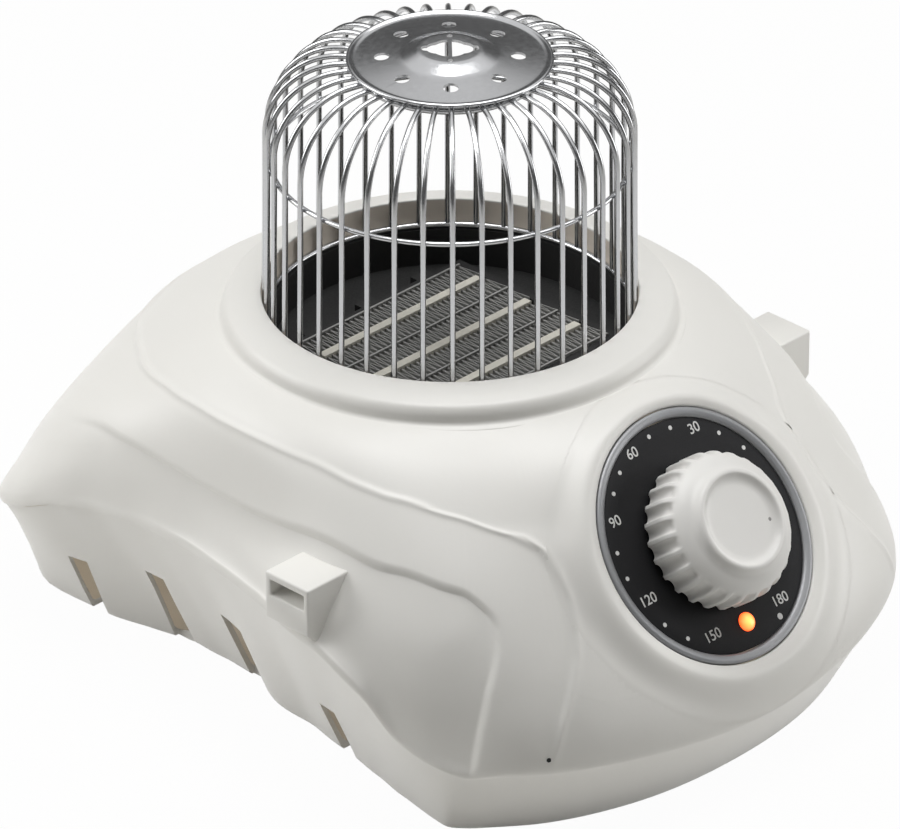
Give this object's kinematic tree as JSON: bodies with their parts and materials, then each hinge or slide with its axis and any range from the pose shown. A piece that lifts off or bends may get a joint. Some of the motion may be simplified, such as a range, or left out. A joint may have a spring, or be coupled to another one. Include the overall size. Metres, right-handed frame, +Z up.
{
  "type": "clothes dryer heater base",
  "caption": "Blower heater base of a fabric clothes dryer: two-shell white body, wire guard over a finned heater, tilted timer dial with knob.",
  "frame": {"origin": "on the floor under the axis of the warm air outlet, which is also the axis of the fan, the motor and the wire guard", "axes": "+Z up along the fan's axis; -Y towards the timer dial, along the body's length; +X across the body, towards the right-hand lug as seen from behind the dial's side"},
  "size_m": [0.2536, 0.3126, 0.2299],
  "materials": {
    "shell_white": "satin gloss, moulded",
    "black_rubber": "matt",
    "zinc_screw": "zinc plated",
    "chrome_wire": "bright plated wire",
    "chrome_cap": "bright plated pressing",
    "black_duct": "fine grained",
    "fin_aluminium": "bare rolled strip",
    "cream_ceramic": "insulating film over ceramic",
    "brass_terminal": "bare",
    "dark_impeller": "moulded",
    "motor_steel": "bare steel",
    "copper_winding": "enamelled copper",
    "bronze_bearing": "sintered bronze",
    "bezel_grey": "satin grey",
    "dial_black": "fine grained, printed white marks",
    "lamp_orange": "lit from behind",
    "inner_white": "moulded",
    "knob_white": "satin gloss, moulded"
  },
  "bodies": {
    "base": {"top_cover": "shell_white", "outlet_collar": "shell_white", "frame_lugs": "shell_white", "base_tub": "shell_white", "intake_grille": "shell_white", "rubber_feet": "black_rubber", "cover_screws": "zinc_screw", "grille_screws": "zinc_screw", "guard_wires": "chrome_wire", "guard_base_ring": "chrome_wire", "guard_mid_ring": "chrome_wire", "guard_top_ring": "chrome_wire", "guard_cap": "chrome_cap", "air_duct": "black_duct", "duct_screws": "zinc_screw", "heater_frame": "black_duct", "heater_fins": "fin_aluminium", "heater_bars": "cream_ceramic", "heater_plates": "fin_aluminium", "heater_terminals": "brass_terminal", "thermostat": "fin_aluminium", "thermal_fuse": "cream_ceramic", "motor_stator": "motor_steel", "motor_coil": "copper_winding", "upper_bracket": "motor_steel", "lower_bracket": "motor_steel", "motor_bearings": "bronze_bearing", "motor_screws": "zinc_screw", "bezel_ring": "bezel_grey", "dial_plate": "dial_black", "indicator_lens": "lamp_orange", "lamp_holder": "inner_white", "timer_case": "inner_white", "timer_nut": "zinc_screw", "timer_terminals": "brass_terminal", "terminal_block": "inner_white", "cord_gland": "black_rubber"},
    "timer_knob": {"control_knob": "knob_white", "timer_shaft": "motor_steel"},
    "fan_rotor": {"fan_impeller": "dark_impeller", "motor_shaft": "motor_steel", "motor_rotor": "motor_steel"}
  },
  "joints": [
    {"name": "knob_turn", "type": "hinge", "parent": "base", "child": "timer_knob", "pos_m": [0, -0.1219, 0.0855], "axis": [0, -0.788, 0.6157], "range_deg": [0, 285]},
    {"name": "fan_spin", "type": "hinge", "parent": "base", "child": "fan_rotor", "pos_m": [0, 0, 0.06], "axis": [0, 0, 1], "continuous": true}
  ]
}
